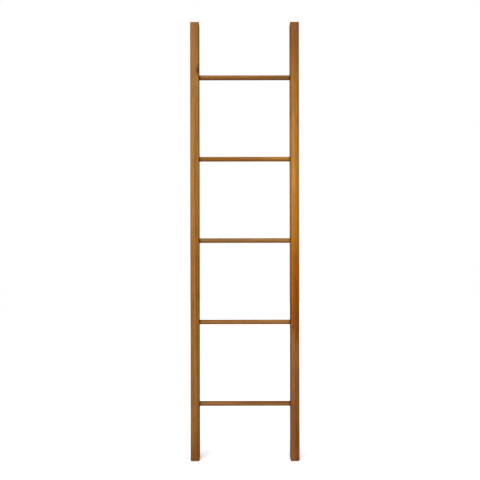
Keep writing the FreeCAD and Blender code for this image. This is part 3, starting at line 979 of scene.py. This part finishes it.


# %% [markdown]
# ## Finish of the two rails
# The two rails were stained separately. The left one is an even honey brown that deepens
# towards the foot. The right one is golden above the middle, then turns to a deep reddish
# brown, and is greyer again below. On both, the darkening towards the foot is partly painted
# shade, for the dimmer light low down, and partly stain. The stops go from the foot (0) to the
# top (1).

# %% Tones of the rails
LEFT_TONES = (
    (0.00, stain(108, 63, 21)), (0.05, stain(115, 70, 27)), (0.10, stain(123, 78, 34)),
    (0.28, stain(132, 86, 35)), (0.45, stain(138, 88, 32)), (0.55, stain(145, 97, 40)),
    (0.70, stain(156, 107, 48)), (0.88, stain(157, 109, 53)), (1.00, stain(146, 98, 46)),
)
RIGHT_TONES = (
    (0.00, stain(108, 66, 30)), (0.05, stain(108, 63, 26)), (0.13, stain(117, 72, 31)),
    (0.22, stain(126, 79, 40)), (0.27, stain(130, 82, 43)), (0.30, stain(115, 60, 7)),
    (0.37, stain(126, 67, 4)), (0.47, stain(148, 86, 14)), (0.58, stain(158, 105, 36)),
    (0.68, stain(159, 111, 47)), (0.82, stain(151, 100, 40)), (0.92, stain(136, 84, 29)),
    (1.00, stain(118, 74, 32)),
)

# %% [markdown]
# ## Knots and rings of the rails
# One knot breaks the front edge of the left rail just above the top rung, and a small red
# one sits on the right rail beside the second rung. A few more are on the sides and the back.
# The broad bands put a paler streak near the outer edge of the left rail and a golden one
# near the inner edge of the right rail.

# %% Recipes for the rails
rail_middle = {side: (sign * (outer_face - rail_width / 2), 0.0, rail_foot + rail_length / 2)
               for side, sign in SIDES.items()}


def knot_at(side, inwards, backwards, height, size, direction, strength=1.0):
    """A knot, placed from a rail's middle towards the other rail and the back, and up from the
    floor."""
    direction = np.array(direction, float) / np.linalg.norm(direction)
    centre = (-SIDES[side] * inwards, backwards, height - rail_middle[side][2])
    return {"centre": centre, "direction": tuple(direction), "size": size, "strength": strength}


rail_recipes = {
    "left": {
        "seed": 3.0, "pith": (-0.052, 0.041, 0.0), "lean": (0.004, -0.003), "tones": LEFT_TONES,
        "band_reach": (0.060, 0.095), "ring_strength": 0.75, "rubbed": 0.35,
        "bands": ((0.0, grey(0.90)), (0.22, grey(0.98)), (0.38, grey(1.20)), (0.52, grey(1.06)),
                  (0.64, grey(0.80)), (0.80, grey(0.92)), (1.0, grey(0.72))),
        "knots": (
            knot_at("left", 14.0 * MM, -13.0 * MM, 1.627, 7.5 * MM, (0.75, -0.6, 0.1)),
            knot_at("left", -9.0 * MM, 12.0 * MM, 0.655, 5.0 * MM, (-0.3, 1.0, 0.2), 0.9),
            knot_at("left", -12.0 * MM, 4.0 * MM, 1.160, 6.5 * MM, (-1.0, 0.2, 0.25)),
        ),
    },
    "right": {
        "seed": 9.0, "pith": (0.060, 0.036, 0.0), "lean": (-0.006, 0.003), "tones": RIGHT_TONES,
        "band_reach": (0.060, 0.100), "ring_strength": 0.7, "rubbed": 0.30,
        "bands": ((0.0, grey(0.50)), (0.13, grey(0.62)), (0.24, grey(0.90)), (0.40, grey(0.84)),
                  (0.55, grey(1.05)), (0.72, grey(1.20)), (0.86, grey(1.02)), (1.0, grey(0.76))),
        "knots": (
            knot_at("right", 9.0 * MM, -14.0 * MM, 0.556, 3.2 * MM, (0.2, -1.0, 0.1), 0.5),
            knot_at("right", -12.0 * MM, -5.0 * MM, 1.385, 6.0 * MM, (1.0, -0.2, 0.2)),
            knot_at("right", 4.0 * MM, 12.0 * MM, 0.982, 7.0 * MM, (0.15, 1.0, -0.2)),
        ),
    },
}
for side, recipe in rail_recipes.items():
    recipe |= {"middle": rail_middle[side], "grain_along_x": False, "length": rail_length,
               "inner_side": -SIDES[side]}
    rails[side].data.materials.append(wood_finish(f"stained_{side}_rail", recipe))

# %% [markdown]
# ## Finish of the rungs
# Each rung was cut from its own dowel, so each has its own rings, drawn from a seed, and a
# slightly different stain at its left and right ends. Shade is painted round each dowel: its
# underside is darkest, its top edge a little darker, and the front between them lightest.

# %% Recipes for the rungs, from the lowest to the highest
RUNG_TONES = (
    (stain(128, 84, 42), stain(126, 81, 42)),
    (stain(136, 90, 43), stain(138, 93, 47)),
    (stain(140, 100, 51), stain(146, 103, 53)),
    (stain(142, 92, 36), stain(158, 107, 44)),
    (stain(134, 90, 42), stain(136, 91, 44)),
)
# Painted shade round a dowel, from its top (0) to its underside (1): top edge a little darker,
# middle lightest, underside darkest.
PAINTED_ROUND_SHADE = ((0.0, grey(0.72)), (0.25, grey(0.98)), (0.5, grey(1.06)), (0.78, stain(240, 232, 232)),
        (1.0, stain(200, 188, 174)))


def rung_recipe(number, height):
    """Pith and lean are drawn from a seed; the bands cover the dowel's whole thickness."""
    dice = np.random.default_rng(200 + number)
    swing, far = dice.uniform(0, 2 * math.pi), dice.uniform(0.022, 0.040)
    left_tone, right_tone = RUNG_TONES[number]
    return {
        "middle": (0.0, 0.0, height), "grain_along_x": True, "length": 2 * rung_half_length,
        "seed": 20.0 + 3 * number, "pith": (far * math.cos(swing), far * math.sin(swing), 0.0),
        "lean": tuple(dice.uniform(-0.012, 0.012, 2).tolist()), "painted_round_shade": PAINTED_ROUND_SHADE,
        "tones": ((0.0, left_tone), (0.5, left_tone), (0.8, right_tone), (1.0, right_tone)),
        "band_reach": (far - rung_radius, far + rung_radius), "ring_strength": 0.65, "rubbed": 0.0,
        "bands": ((0.0, grey(0.92)), (0.3, grey(1.06)), (0.55, grey(0.94)), (0.8, grey(1.05)),
                  (1.0, grey(0.9))),
    }


for number, rung in enumerate(rungs):
    recipe = rung_recipe(number, float(rung_heights[number]))
    rung.data.materials.append(wood_finish(f"stained_{rung_names[number]}", recipe))

# %% [markdown]
# ## Finish of the plugs
# Plugs are cut across a board, so they show long grain on their face and not end grain. Each
# is turned by the value that its own points carry.

# %% Recipes for the plugs
for side, sign in SIDES.items():
    recipe = {
        "middle": (sign * outer_face, 0.0, rail_foot + rail_length / 2), "grain_along_x": False,
        "length": rail_length, "seed": 40.0 + sign, "pith": (sign * -0.030, 0.016, 0.0),
        "lean": (0.01, 0.01), "tones": ((0.0, stain(112, 68, 30)), (1.0, stain(126, 80, 36))),
        "band_reach": (0.02, 0.05), "bands": ((0.0, grey(0.95)), (1.0, grey(1.05))),
        "ring_strength": 0.6, "rubbed": 0.35, "turn_by": "plug_turn",
    }
    plugs[side].data.materials.append(wood_finish(f"stained_{side}_plugs", recipe))

# %% [markdown]
# ## Screws and foot pads
# The screws stay as the frame has them: they are turned metal of the right shape, hidden in
# the wood. Zinc plating is a bright, slightly yellow metal with a faint cloudy film. The foot
# pads also keep their shape, grooves and all. They are brown rubber, chosen so as not to show
# under the wood. It has a fine moulded texture and some dust, so its roughness varies a lot.

# %% Zinc and rubber
def clouded_finish(name, tones, grain, rough_range, bump_depth, **constants):
    """A material whose colour, roughness and bump come from one noise of the given fineness."""
    material, tree = new_finish(name)
    place = add_node(tree, "ShaderNodeTexCoord").outputs["Object"]
    cloud = grain_noise(tree, place, 1.0, grain, 1.0, detail=5.0).outputs["Fac"]
    sockets = {"Height": cloud, "Strength": 0.4, "Distance": bump_depth}
    bump = add_node(tree, "ShaderNodeBump", sockets)
    surface = add_node(tree, "ShaderNodeBsdfPrincipled", {
        "Base Color": bands(tree, cloud, tones),
        "Roughness": spread(tree, cloud, 0.3, 0.7, *rough_range),
        "Normal": bump.outputs["Normal"], **constants,
    })
    add_node(tree, "ShaderNodeOutputMaterial", {"Surface": surface.outputs[0]})
    return material


zinc = clouded_finish("zinc_plate", ((0.3, stain(196, 186, 150)), (0.7, stain(214, 210, 196))),
                      700.0, (0.28, 0.42), 0.02 * MM, Metallic=1.0)
rubber = clouded_finish("moulded_rubber", ((0.35, stain(88, 54, 30)), (0.7, stain(112, 72, 42))),
                        1400.0, (0.62, 0.85), 0.08 * MM)


def refinish(node_name, material):
    """Puts a material in every slot of a frame node, whose shape stays as it is."""
    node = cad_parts[node_name]
    for slot in range(max(1, len(node.data.materials))):
        if slot < len(node.data.materials):
            node.data.materials[slot] = material
        else:
            node.data.materials.append(material)
    print(node_name, "is now", material.name)


for side in SIDES:
    refinish(f"{side}_screws", zinc)
    refinish(f"{side}_foot_pad", rubber)

# %% [markdown]
# ## A plain pale floor
# The ladder stands on a pale studio floor. A disc of rings that fades into a white surround
# needs no back wall, so the ladder can be seen from every side.

# %% The floor
FLOOR_RADIUS = 5.0


def make_floor():
    """Place = radius x (cos, sin) of the angle, on rings that widen outwards."""
    swing = np.linspace(0, 2 * math.pi, 96, endpoint=False)
    radius = FLOOR_RADIUS * np.linspace(0, 1, 24) ** 1.5
    points = np.zeros((len(radius), len(swing), 3))
    points[..., 0] = radius[:, None] * np.cos(swing)
    points[..., 1] = radius[:, None] * np.sin(swing)
    floor = make_piece("studio_floor", [patch(points, closed=True)])
    floor.data.materials.append(clouded_finish(
        "pale_floor", ((0.3, stain(246, 246, 246)), (0.7, stain(250, 250, 250))),
        9.0, (0.7, 0.8), 0.01 * MM))
    return floor


floor = make_floor()

# %% [markdown]
# ## Soft studio light
# One large soft light stands high in front and to the left, so the right sides of the pieces
# fall into shade. A weaker one stands behind, so the back can be seen too. The surround fills
# the shadows evenly. It is white where the camera sees it and dimmer as a light, so the wood
# keeps its modelling against a white ground.

# %% Light and surround
from mathutils import Vector


def sun(name, strength, angle, towards):
    """A sun whose light travels along towards, with soft shadows from its wide disc."""
    lamp = bpy.data.lights.new(name, "SUN")
    lamp.energy = strength
    lamp.angle = math.radians(angle)
    holder = bpy.data.objects.new(name, lamp)
    bpy.context.scene.collection.objects.link(holder)
    holder.rotation_mode = "QUATERNION"
    holder.rotation_quaternion = Vector(towards).to_track_quat("-Z", "Y")


sun("key_softbox", strength=3.15, angle=70, towards=(0.22, 0.75, -0.95))
sun("rear_fill", strength=1.3, angle=90, towards=(-0.25, -0.80, -0.50))
world = bpy.data.worlds.new("white_surround")
bpy.context.scene.world = world
world.use_nodes = True
sky = world.node_tree
sky.nodes.clear()
as_light = add_node(sky, "ShaderNodeBackground", {"Color": (1, 1, 1, 1), "Strength": 0.35})
as_seen = add_node(sky, "ShaderNodeBackground", {"Color": (1, 1, 1, 1), "Strength": 1.0})
ray = add_node(sky, "ShaderNodeLightPath")
chosen = add_node(sky, "ShaderNodeMixShader", {0: ray.outputs["Is Camera Ray"],
                                               1: as_light.outputs[0], 2: as_seen.outputs[0]})
add_node(sky, "ShaderNodeOutputWorld", {"Surface": chosen.outputs[0]})
bpy.context.scene.view_settings.view_transform = "Standard"
print("two soft lights and a white surround")

# %% [markdown]
# ## The camera
# The ladder is seen square on, from a little under two metres away and from half its height,
# so its rungs are level and its sides upright. The camera stands between the rails, a little
# left of the middle, so it sees a sliver of each rail's inner side.

# %% Camera
CAMERA_DISTANCE = 1.94       # in front of the rails' front faces
CAMERA_LEFT = -0.020
CAMERA_HEIGHT = 0.921
CAMERA_ROLL = math.radians(0.09)
LENS_MM = 34.97

camera_data = bpy.data.cameras.new("studio_camera")
camera_data.lens = LENS_MM
camera_data.sensor_width = 36.0
camera = bpy.data.objects.new("studio_camera", camera_data)
bpy.context.scene.collection.objects.link(camera)
camera.location = (CAMERA_LEFT, frame_low.y - CAMERA_DISTANCE, CAMERA_HEIGHT)
camera.rotation_euler = (math.pi / 2, CAMERA_ROLL, 0)
bpy.context.scene.camera = camera
print("camera at", tuple(round(value, 3) for value in camera.location))

# %% [markdown]
# ## Ride, stand in and finish
# The ladder has one body, so every piece rides on it. The rails, rungs and plugs stand in for
# their plain nodes. The last step prints the frame's box.

# %% Join the pieces to the frame
for side in SIDES:
    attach(rails[side], "root")
    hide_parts(f"{side}_rail")
    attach(plugs[side], "root")
    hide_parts(f"{side}_plugs")
for name, rung in zip(rung_names, rungs):
    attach(rung, "root")
    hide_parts(name)

# %% Print the frame's box
print("frame box", tuple(frame_low), tuple(frame_high))
